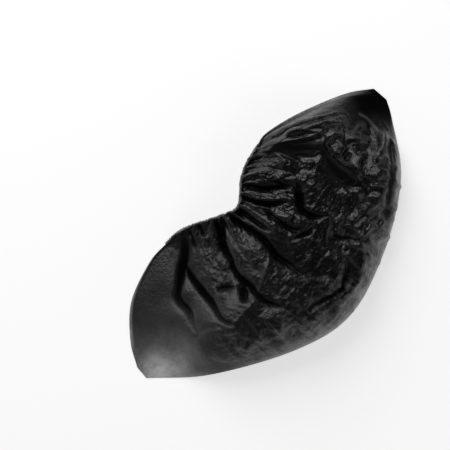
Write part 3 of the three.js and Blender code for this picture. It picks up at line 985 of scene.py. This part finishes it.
class CrimpTree:
    """The node tree that turns a path into a thread with small crimps all along it."""

    INPUTS = (
        ("Thread Radius", "NodeSocketFloat"),
        ("Crimps", "NodeSocketInt"),
        ("Crimp Radius", "NodeSocketFloat"),
        ("Crimp Wire", "NodeSocketFloat"),
        ("Least Scale", "NodeSocketVector"),
        ("Most Scale", "NodeSocketVector"),
        ("Tilt", "NodeSocketVector"),
        ("Seed", "NodeSocketInt"),
        ("Material", "NodeSocketMaterial"),
    )
    THREAD_SIDES = 8
    RING_SIDES = 10
    WIRE_SIDES = 5

    def __init__(self) -> None:
        """Builds the tree."""
        self.tree = bpy.data.node_groups.new("hem crimps", "GeometryNodeTree")
        face = self.tree.interface
        face.new_socket("Geometry", in_out="INPUT", socket_type="NodeSocketGeometry")
        for name, kind in self.INPUTS:
            face.new_socket(name, in_out="INPUT", socket_type=kind)
        face.new_socket("Geometry", in_out="OUTPUT", socket_type="NodeSocketGeometry")
        self.nodes = Nodes(self.tree)
        self.given = self.nodes.add("NodeGroupInput")
        curve = self.nodes.add("GeometryNodeMeshToCurve", {"Mesh": self.given["Geometry"]})["Curve"]
        thread = self._tube(curve, self._circle(self.THREAD_SIDES, "Thread Radius"))
        wire = self._circle(self.WIRE_SIDES, "Crimp Wire")
        ring = self._tube(self._circle(self.RING_SIDES, "Crimp Radius"), wire)
        parts = [thread, self._crimps(curve, ring)]
        joined = self.nodes.add("GeometryNodeJoinGeometry", {"Geometry": parts})["Geometry"]
        whole = self.nodes.add("GeometryNodeRealizeInstances", {"Geometry": joined})["Geometry"]
        smooth = self.nodes.add("GeometryNodeSetShadeSmooth", {"Geometry": whole})["Geometry"]
        inputs = {"Geometry": smooth, "Material": self.given["Material"]}
        dressed = self.nodes.add("GeometryNodeSetMaterial", inputs)["Geometry"]
        self.nodes.add("NodeGroupOutput", {"Geometry": dressed})

    def _circle(self, sides: int, radius: str) -> Socket:
        """A circle whose radius is one of the tree's inputs."""
        inputs = {"Resolution": sides, "Radius": self.given[radius]}
        return self.nodes.add("GeometryNodeCurvePrimitiveCircle", inputs)["Curve"]

    def _tube(self, path: Socket, section: Socket) -> Socket:
        """A closed tube of the given section along a path."""
        inputs = {"Fill Caps": True, "Curve": path, "Profile Curve": section}
        return self.nodes.add("GeometryNodeCurveToMesh", inputs)["Mesh"]

    def _random(self, low: Socket, high: Socket) -> Socket:
        """A random vector between two others."""
        inputs = {"Min": low, "Max": high, "Seed": self.given["Seed"]}
        return self.nodes.add("FunctionNodeRandomValue", inputs, data_type="FLOAT_VECTOR")["Value"]

    def _crimps(self, curve: Socket, ring: Socket) -> Socket:
        """Rings set along the path, each with its own size and tilt.

        Args:
            curve: the path.
            ring: the ring.

        Returns:
            The rings.
        """
        given = self.given
        inputs = {"Curve": curve, "Count": given["Crimps"]}
        points = self.nodes.add("GeometryNodeCurveToPoints", inputs, mode="COUNT")
        scale = self._random(given["Least Scale"], given["Most Scale"])
        inputs = {"Points": points["Points"], "Rotation": points["Rotation"]}
        inputs |= {"Instance": ring, "Scale": scale}
        placed = self.nodes.add("GeometryNodeInstanceOnPoints", inputs)["Instances"]
        back = self.nodes.add("ShaderNodeVectorMath", {0: given["Tilt"], "Scale": -1.0}, operation="SCALE")
        tilt = self._random(back["Vector"], given["Tilt"])
        inputs = {"Instances": placed, "Rotation": tilt}
        return self.nodes.add("GeometryNodeRotateInstances", inputs)["Instances"]

    def make(self, name: str, path: Array, values: dict[str, object]) -> bpy.types.Object:
        """Runs the tree along a path and keeps the result as a plain mesh.

        Args:
            name: name of the new object.
            path: points of the path, in millimetres.
            values: a value for each of the tree's inputs.

        Returns:
            The new object, at the origin.
        """
        line = bpy.data.meshes.new(name)
        edges = [(k, k + 1) for k in range(len(path) - 1)]
        line.from_pydata((path * MM).tolist(), edges, [])
        thing = bpy.data.objects.new(name, line)
        bpy.context.collection.objects.link(thing)
        modifier = thing.modifiers.new("crimps", "NODES")
        modifier.node_group = self.tree
        for item in self.tree.interface.items_tree:
            if item.in_out == "INPUT" and item.name in values:
                modifier[item.identifier] = values[item.name]
        evaluated = thing.evaluated_get(bpy.context.evaluated_depsgraph_get())
        mesh = bpy.data.meshes.new_from_object(evaluated)
        thing.modifiers.remove(modifier)
        thing.data = mesh
        mesh.name = name
        bpy.data.meshes.remove(line)
        return thing


@dataclass
class Hem:
    """The rolled edge of one side of the mouth, drawn together by the elastic inside it."""

    name: str
    node: str
    path: Array
    tree: CrimpTree
    finish: bpy.types.Material
    seed: int
    thread_radius: float = 0.75
    crimps: int = 110
    crimp_radius: float = 0.85
    crimp_wire: float = 0.35
    least_scale: Triple = (0.6, 0.6, 0.8)
    most_scale: Triple = (1.5, 1.2, 1.8)
    tilt: Triple = (0.5, 0.5, 3.0)

    def build(self) -> bpy.types.Object:
        """Makes the hem's mesh and dresses it.

        Returns:
            The hem's object.
        """
        values = {
            "Thread Radius": self.thread_radius * MM,
            "Crimps": self.crimps,
            "Crimp Radius": self.crimp_radius * MM,
            "Crimp Wire": self.crimp_wire * MM,
            "Least Scale": self.least_scale,
            "Most Scale": self.most_scale,
            "Tilt": self.tilt,
            "Seed": self.seed,
            "Material": self.finish,
        }
        hem = self.tree.make(self.name, self.path, values)
        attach(hem, BODY)
        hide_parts(self.node)
        log.info("%s: %d crimps", self.name, self.crimps)
        return hem


@dataclass(frozen=True)
class Loft:
    """The puffed form of the upper side over the lower one, before it is folded, in millimetres."""

    puff: float = 42.0
    toe_puff: float = 32.0
    toe_from: Pair = (10.0, 120.0)
    mouth_share: float = 0.75
    mouth_from: Pair = (0.4, 1.0)
    fold_width: float = 0.5
    weld_width: float = 2.5
    sole_reach: float = 40.0
    ball_reach: float = 16.0
    heel_reach: float = 90.0
    toe_reach: float = 22.0
    steep: float = 0.62
    corner_share: float = 0.06
    heel_corner: Pair = (12.0, 60.0)
    toe_corner: Pair = (8.0, 72.0)

    def height(self, edges: Outline, plan: Array, v: Array) -> Array:
        """Heights of the puffed side.

        Args:
            edges: the cover's outline.
            plan: plan points, in millimetres.
            v: their shares from the sole fold to the mouth.

        Returns:
            The heights, in millimetres.
        """

        def past(points: Points, flat: float, reach: Array | float) -> Array:
            """How far points are past an edge's flat strip, as a share of the reach."""
            return np.clip((Spline(points).away(plan) - flat) / reach, 0, 1)

        def swell(share: Array) -> Array:
            """A steep rise that levels out."""
            return (1 - (1 - share) ** 2) ** self.steep

        toewards = smooth_step(plan[..., 0], *self.toe_from)
        height = mix(self.puff, self.toe_puff, toewards)
        sole_reach = mix(self.sole_reach, self.ball_reach, toewards)
        height = height * swell(past(edges.sole_fold, self.fold_width, sole_reach))
        height = height * past(edges.heel_weld, self.weld_width, self.heel_reach)
        height = height * swell(past(edges.toe_weld, self.weld_width, self.toe_reach))
        corners = ((edges.sole_fold[0], self.heel_corner), (edges.sole_fold[-1], self.toe_corner))
        for corner, reach in corners:
            height = height * mix(self.corner_share, 1.0, smooth_step(distance(plan, corner), *reach))
        return height * mix(1.0, self.mouth_share, smooth_step(v, *self.mouth_from))


@dataclass(frozen=True)
class Gathers:
    """The gathers that the elastic draws: they fan out from the mouth and push its edge out and in."""

    count: int = 20
    depth: float = 130.0
    bend: Layer = Layer(SOFT, 1.8, 9.0, (90, 0.2), (40, 0))
    length: Pair = (8.0, 18.0)
    length_draw: Layer = Layer(SOFT, 0.5, 9.0, (140, 0))
    tall: Pair = (0.45, 1.1)
    tall_draw: Layer = Layer(SOFT, 0.5, 7.0, (140, 0), (33, 0))
    rounding: float = 0.05
    fine_level: float = 1.3
    wide_level: float = 1.2
    wide_turn: float = 1.0
    wide_from: Pair = (2.0, 14.0)
    wide_length: float = 24.0
    area: Area = Area(3.0, (Step(HEEL, 0.02, 0.14), Step(TOE, 0.02, 0.12)))
    pushes: Relief = Relief(
        Area(1.0, (Step(SOLE, 0.9, 1), Step(HEEL, 0, 0.06), Step(TOE, 0, 0.06))),
        (Layer(SOFT, 0.8, 3.2, (135, 0)), Layer(SOFT, 0.8, 9.0, (135, 0), (70, 0))),
    )
    spare: Area = Area(0.06, (Step(SOLE, 0.3, 0.95),))

    def relief(self, noise: Crumple, u: Array, v: Array) -> Array:
        """Heights of the gathers: fine ones at the mouth, which run into wide ones.

        Args:
            noise: the noise that makes them uneven.
            u: shares from the heel weld to the toe weld.
            v: shares from the sole fold to the mouth.

        Returns:
            The heights, in millimetres.
        """
        off = self.depth * (1 - v)
        turn = 2 * np.pi * self.count * u + self.bend.at(noise, u, off)
        length = mix(*self.length, 0.5 + self.length_draw.at(noise, u, v))
        tall = mix(*self.tall, 0.5 + self.tall_draw.at(noise, u, v))
        fine = tall * (2 * np.sqrt(np.cos(turn / 2) ** 2 + self.rounding) - self.fine_level)
        wide = 2 * np.abs(np.cos(turn / 4 + self.wide_turn)) - self.wide_level
        wide = wide * smooth_step(off, *self.wide_from) * np.exp(-off / self.wide_length)
        return self.area.at(u, v) * (fine * np.exp(-off / length) + wide)


class Laid(NamedTuple):
    """A side of the film: its points in millimetres, and how crisp each is and how far it takes painted
    shade.
    """

    points: Array
    crisp: Array
    shade: Array


@dataclass(frozen=True)
class UpperSide:
    """The upper side of the cover: puffed up, gathered, folded, crumpled and crushed."""

    outline: Outline
    seed: int
    loft: Loft = Loft()
    gathers: Gathers = Gathers()
    sways: tuple[Layer, ...] = (Layer(SOFT, 1.0, 15.0, shift=(19, 0)), Layer(SOFT, 1.0, 15.0, shift=(0, 53)))
    crease_sway: float = 1.6
    patch_sway: float = 2.0
    uneven: Layer = Layer(SOFT, 0.3, 12.0, shift=(0, 91))
    swells: tuple[Layer, ...] = (Layer(FACETS, 1.4, 26.0), Layer(SOFT, 1.0, 17.0), Layer(SOFT, 3.0, 42.0))
    crushed: Layer = Layer(FACETS, 3.6, 18.0, warp=0.8)
    starts: tuple[Layer, ...] = (
        Layer(FACETS, 1.2, 20.0, shift=(130, 0)),
        Layer(FACETS, 1.0, 9.0, shift=(50, 0)),
    )
    crests: tuple[Layer, ...] = (
        Layer(RIDGED, 4.2, 16.0, shift=(40, 0)),
        Layer(RIDGED, -2.8, 11.0, shift=(0, 60)),
        Layer(FACETS, 2.0, 8.0, shift=(90, 0), warp=0.9),
    )
    crest_level: float = 1.2
    crest_share: float = 1.25
    crest_most: float = 1.9
    # Painted shade at the toe end and at the toe end of the mouth
    toe_dark: Blot = Blot(1.0, 36, 4)
    mouth_dark: Blot = Blot(0.6, 16)
    free_share: float = 0.5
    taut_share: float = 0.2
    edge_rise: float = 8.0
    gap: float = 0.48
    least_laid: float = 3.0
    least_settled: float = 2.5

    def _spare(self, plan: Array, u: Array, v: Array) -> Array:
        """The spare length of the film across and along the side, as shares."""
        crumpled = np.max([zone.spare * zone.weight(plan) for zone in ZONES], axis=0)
        gathered = self.gathers.spare.at(u, v) * np.sin(np.pi * u)
        return np.stack([crumpled + FLANK_SPARE.at(u, v), crumpled + gathered + WELD_SPARE.at(u, v)], -1)

    def _relief(self, plan: Array, u: Array, v: Array, crush: Array) -> Array:
        """Sharp relief, in millimetres: crests where the film is crushed, and the tables' reliefs."""
        noise = Crumple(self.seed)
        crests = total(self.crests, noise, plan[..., 0], plan[..., 1]) - self.crest_level
        crests = self.crest_most * np.tanh(self.crest_share * crush * crests / self.crest_most)
        return crests + sum(relief.at(noise, u, v) for relief in RELIEFS)

    def _shade(self, plan: Array, u: Array, v: Array) -> Array:
        """How far painted shade takes the shine off the film at the toe end, the mouth's toe end, the sole
        and the flank, from 0 to 1.
        """
        toe = self.toe_dark.at(distance(plan, self.outline.toe_weld[0]))
        mouth = self.mouth_dark.at(distance(plan, self.outline.toe_weld[-1]))
        return np.maximum.reduce([toe, mouth, PAINTED_SHADE_SOLE.at(u, v), PAINTED_SHADE_STREAKS.at(Crumple(self.seed), u, v)])

    def lay(self, u: Array, v: Array) -> Laid:
        """Lays the side, lets it settle and presses the sharp relief into it.

        Args:
            u: shares from the heel weld to the toe weld, a grid.
            v: shares from the sole fold to the mouth, a grid.

        Returns:
            The side.
        """
        noise = Crumple(self.seed)
        plan = self.outline.plan(u, v)
        loft = self.loft.height(self.outline, plan, v)
        plan = plan + np.stack([0 * u, self.gathers.pushes.at(Crumple(self.seed + 1), u, v)], -1)
        free = smooth_step(loft, 0.0, self.free_share * self.loft.puff)
        x, y = plan[..., 0], plan[..., 1]
        sway = np.stack([layer.at(noise, x, y) for layer in self.sways], -1)
        folds = [crease.fold(plan + self.crease_sway * sway) for crease in CREASES]
        uneven = 1 + self.uneven.at(noise, x, y)
        sink = uneven * np.sum([fold.sink for fold in folds], axis=0)
        slack = np.prod([1 - fold.hold for fold in folds], axis=0)
        for calm in CALMS:
            slack = slack * mix(1.0, calm.share, calm.weight(plan))
        crush = np.max([zone.crush * zone.weight(plan) for zone in ZONES], axis=0) * slack
        crumple = total(self.swells, noise, x, y) + crush * self.crushed.at(noise, x, y)
        height = loft + free * (self.gathers.relief(noise, u, v) - sink)
        swayed = plan + self.patch_sway * sway
        for patch in PATCHES:
            height = patch.lay(swayed, height)
            flat = 1 - patch.taut * patch.weight(swayed)
            slack = slack * flat
            crush = crush * flat
        height = height + free * crumple * mix(self.taut_share, 1.0, slack)
        height = self.gap + np.maximum(height, np.minimum(loft, self.least_laid))
        laid = np.concatenate([plan, height[..., None]], -1)
        spare = self._spare(plan, u, v) * slack[..., None]
        points = Settling().settle(laid, spare, LOOSE_FILM.at(u, v), total(self.starts, noise, x, y))
        edge = smooth_step(loft, 0.0, self.edge_rise)
        cut = free * uneven * np.sum([fold.cut for fold in folds], axis=0)
        outward = surface_normal(np.concatenate([plan, loft[..., None]], -1))
        points = points + outward * (edge * self._relief(plan, u, v, crush) - cut)[..., None]
        points[..., 2] = np.maximum(points[..., 2], self.gap + np.minimum(loft, self.least_settled))
        # Painted shade: along the creases' slots and at the dark places
        shade = np.maximum.reduce([*[fold.shade for fold in folds], self._shade(plan, u, v)])
        return Laid(points, slack, shade)


@dataclass
class Film:
    """The film of the cover: one sheet from the upper mouth, round the sole fold, to the lower mouth."""

    outline: Outline = field(default_factory=Outline)
    finish: FilmFinish = field(default_factory=FilmFinish)
    columns: int = 280
    upper_rows: int = 136
    lower_rows: int = 28
    thickness: float = 0.3
    flat: Pair = (0.30, 0.40)
    hem_height: float = 1.8
    # A painted highlight near the heel end of the sole fold, and a painted highlight line along the toe tip
    pale_at: float = 0.035
    pale_corner: Blot = Blot(0.95, 24)
    pale_glow: Blot = Blot(0.06, 64, 4)
    toe_arc: Blot = Blot(0.1, 0.9)
    seed: int = 11

    def lower(self, u: Array, v: Array) -> Laid:
        """The lower side, flat on the surface."""
        height = np.full_like(u, 0.5 * self.thickness)
        points = np.concatenate([self.outline.plan(u, v), height[..., None]], -1)
        return Laid(points, np.zeros_like(u), np.zeros_like(u))

    def thin(self, u: Array, v: Array) -> Array:
        """How far the film is painted pale: painted highlights and streaks, and where the support shows
        through.

        Args:
            u: shares from the heel weld to the toe weld.
            v: shares from the sole fold to the mouth.

        Returns:
            From 0 for black film to 1 for the pale colour, that of the support or of a painted highlight.
        """
        plan = self.outline.plan(u, v)
        # A painted highlight, with a broad painted glow, near the heel end of the sole fold
        away = distance(plan, Spline(self.outline.sole_fold).at(np.array(self.pale_at)))
        corner = self.pale_corner.at(away) + self.pale_glow.at(away)
        # A painted highlight line along the toe tip
        arc = self.toe_arc.at(Spline(TOE_TIP.points).away(plan))
        # Painted light in streaks along the flank
        streaks = PAINTED_LIGHT_STREAKS.at(Crumple(self.seed), u, v)
        return np.maximum.reduce([corner, arc, streaks, *[area.at(u, v) for area in PALE]])

    def mesh(self) -> tuple[bpy.types.Mesh, Array]:
        """Makes the sheet's mesh, with its values for the finish.

        Returns:
            The mesh, and its grid of points in millimetres.
        """
        u = np.linspace(0.0, 1.0, self.columns + 1)
        v_up = np.linspace(1.0, 0.0, self.upper_rows + 1)
        v_low = np.linspace(0.0, 1.0, self.lower_rows + 1)[1:]
        top = UpperSide(self.outline, self.seed).lay(*np.meshgrid(u, v_up))
        under = self.lower(*np.meshgrid(u, v_low))
        grid, crisp, shade = (np.concatenate(pair) for pair in zip(top, under))
        thin = self.thin(*np.meshgrid(u, np.concatenate([v_up, v_low])))
        index = np.arange(thin.size).reshape(thin.shape)
        quads = np.stack([index[:-1, :-1], index[1:, :-1], index[1:, 1:], index[:-1, 1:]], -1)
        mesh = bpy.data.meshes.new("film")
        mesh.from_pydata((grid.reshape(-1, 3) * MM).tolist(), [], quads.reshape(-1, 4).tolist())
        mesh.polygons.foreach_set("use_smooth", np.ones(len(mesh.polygons), bool))
        # thin paints the film paler (support showing through, painted highlights); shade is painted shade
        for name, values in (("thin", thin), ("crisp", crisp), ("shade", shade)):
            mesh.attributes.new(name, "FLOAT", "POINT").data.foreach_set("value", values.ravel())
        mesh.materials.append(self.finish.build())
        return mesh, grid

    def build(self) -> bpy.types.Object:
        """Makes the film and its hems and dresses them.

        Returns:
            The film's object.
        """
        mesh, grid = self.mesh()
        film = bpy.data.objects.new("film", mesh)
        bpy.context.collection.objects.link(film)
        wall = film.modifiers.new("wall", "SOLIDIFY")
        wall.thickness = self.thickness * MM
        wall.offset = 0.0
        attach(film, BODY)
        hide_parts("film_body")
        hems = self.hems(grid[0], grid[-1])
        log.info("film: %d by %d points", *grid.shape[:2])
        return film

    def hems(self, upper: Array, lower: Array) -> list[bpy.types.Object]:
        """Rolls the two edges of the mouth.

        Args:
            upper: points along the upper edge, in millimetres.
            lower: points along the lower edge, in millimetres.

        Returns:
            The two hems.
        """
        tree = CrimpTree()
        finish = HemFinish().build()
        edges = (("upper_hem", "upper_elastic", upper), ("lower_hem", "lower_elastic", lower))
        hems = []
        for name, node, path in edges:
            raised = np.maximum(path, [-np.inf, -np.inf, self.hem_height])
            hems.append(Hem(name, node, raised, tree, finish, self.seed).build())
        return hems


@dataclass(frozen=True)
class Softbox:
    """A square soft light: its place as seen in the picture and its side, in metres, and its watts."""

    name: str
    right: float
    up: float
    height: float
    side: float
    power: float


@dataclass
class Studio:
    """Pale floor, soft light and the camera straight above."""

    turn: float = math.radians(49.226)
    pixel: float = 400.0 / 446.6
    centre: Pair = (-14.8, 53.2)
    distance: float = 2500.0
    sensor: float = 36.0
    clip_end: float = 100.0
    floor_side: float = 6.0
    floor_drop: float = 0.2
    floor_colour: Triple = (0.9, 0.9, 0.9)
    floor_roughness: float = 0.8
    floor_glow: float = 0.6
    softboxes: tuple[Softbox, ...] = (
        Softbox("key", -0.75, 1.6, 1.15, 1.5, 22.0),
        Softbox("fill", 1.4, -0.8, 0.8, 1.0, 3.0),
    )
    sky_from: Pair = (0.1, 0.93)
    sky: Pair = (0.5, 0.02)
    heel_from: Pair = (-0.8, -0.1)
    heel_light: Pair = (0.7, 1.0)
    toe_from: Pair = (0.2, 0.9)
    toe_light: Pair = (1.0, 0.35)

    def direction(self, right: float, up: float) -> Vector:
        """The plan direction that points right and up by these amounts in the picture."""
        c, s = math.cos(self.turn), math.sin(self.turn)
        return Vector((c * right + s * up, -s * right + c * up, 0.0))

    def camera(self) -> None:
        """Makes the camera."""
        data = bpy.data.cameras.new("camera")
        data.sensor_width = self.sensor
        data.lens = self.sensor * self.distance / (PHOTO_SIDE * self.pixel)
        data.clip_end = self.clip_end
        camera = bpy.data.objects.new("camera", data)
        camera.location = (self.centre[0] * MM, self.centre[1] * MM, self.distance * MM)
        camera.rotation_euler = (0.0, 0.0, -self.turn)
        bpy.context.collection.objects.link(camera)
        bpy.context.scene.camera = camera

    def floor(self) -> None:
        """Makes the pale floor."""
        mesh = bpy.data.meshes.new("floor")
        turns = ((-1, -1), (1, -1), (1, 1), (-1, 1))
        places = [(self.floor_side * x, self.floor_side * y, 0) for x, y in turns]
        mesh.from_pydata(places, [], [(0, 1, 2, 3)])
        floor = bpy.data.objects.new("floor", mesh)
        floor.location.z = -self.floor_drop * MM
        bpy.context.collection.objects.link(floor)
        material = bpy.data.materials.new("floor")
        material.use_nodes = True
        shader = material.node_tree.nodes["Principled BSDF"].inputs
        shader["Base Color"].default_value = (*self.floor_colour, 1.0)
        shader["Roughness"].default_value = self.floor_roughness
        shader["Emission Color"].default_value = (1.0, 1.0, 1.0, 1.0)
        shader["Emission Strength"].default_value = self.floor_glow
        mesh.materials.append(material)

    def hang(self, box: Softbox) -> None:
        """Hangs a soft light that faces the cover."""
        data = bpy.data.lights.new(box.name, "AREA")
        data.shape = "SQUARE"
        data.size = box.side
        data.energy = box.power
        light = bpy.data.objects.new(box.name, data)
        light.location = self.direction(box.right, box.up) + Vector((0.0, 0.0, box.height))
        light.rotation_euler = (-light.location).to_track_quat("-Z", "Y").to_euler()
        light.visible_camera = False
        bpy.context.collection.objects.link(light)

    def surroundings(self) -> None:
        """Sets the surroundings: dark overhead, bright low down, and less so past the heel and the toe."""
        world = bpy.data.worlds.new("surroundings")
        shading = Shading(world)
        axes = shading.add("ShaderNodeSeparateXYZ", {"Vector": shading.place["Generated"]})
        sky = shading.ramp(axes["Z"], self.sky_from, self.sky)
        heel = shading.ramp(axes["X"], self.heel_from, self.heel_light)
        toe = shading.ramp(axes["X"], self.toe_from, self.toe_light)
        strength = shading.math("MULTIPLY", sky, shading.math("MULTIPLY", heel, toe))
        background = shading.tree.nodes["Background"].inputs
        background["Color"].default_value = (1.0, 1.0, 1.0, 1.0)
        shading.join(strength, background["Strength"])
        bpy.context.scene.world = world

    def build(self) -> None:
        """Sets up the whole studio."""
        self.camera()
        self.floor()
        for box in self.softboxes:
            self.hang(box)
        self.surroundings()
        bpy.context.scene.view_settings.view_transform = "Standard"


def corners(box: tuple[Vector, Vector]) -> list[list[float]]:
    """A box's two corners as plain lists of numbers."""
    return [list(corner) for corner in box]


def main() -> None:
    """Loads the frame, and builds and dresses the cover."""
    logging.basicConfig(level=logging.INFO, format="%(name)s: %(message)s")
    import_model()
    Studio().build()
    Film().build()


if __name__ == "__main__":
    main()
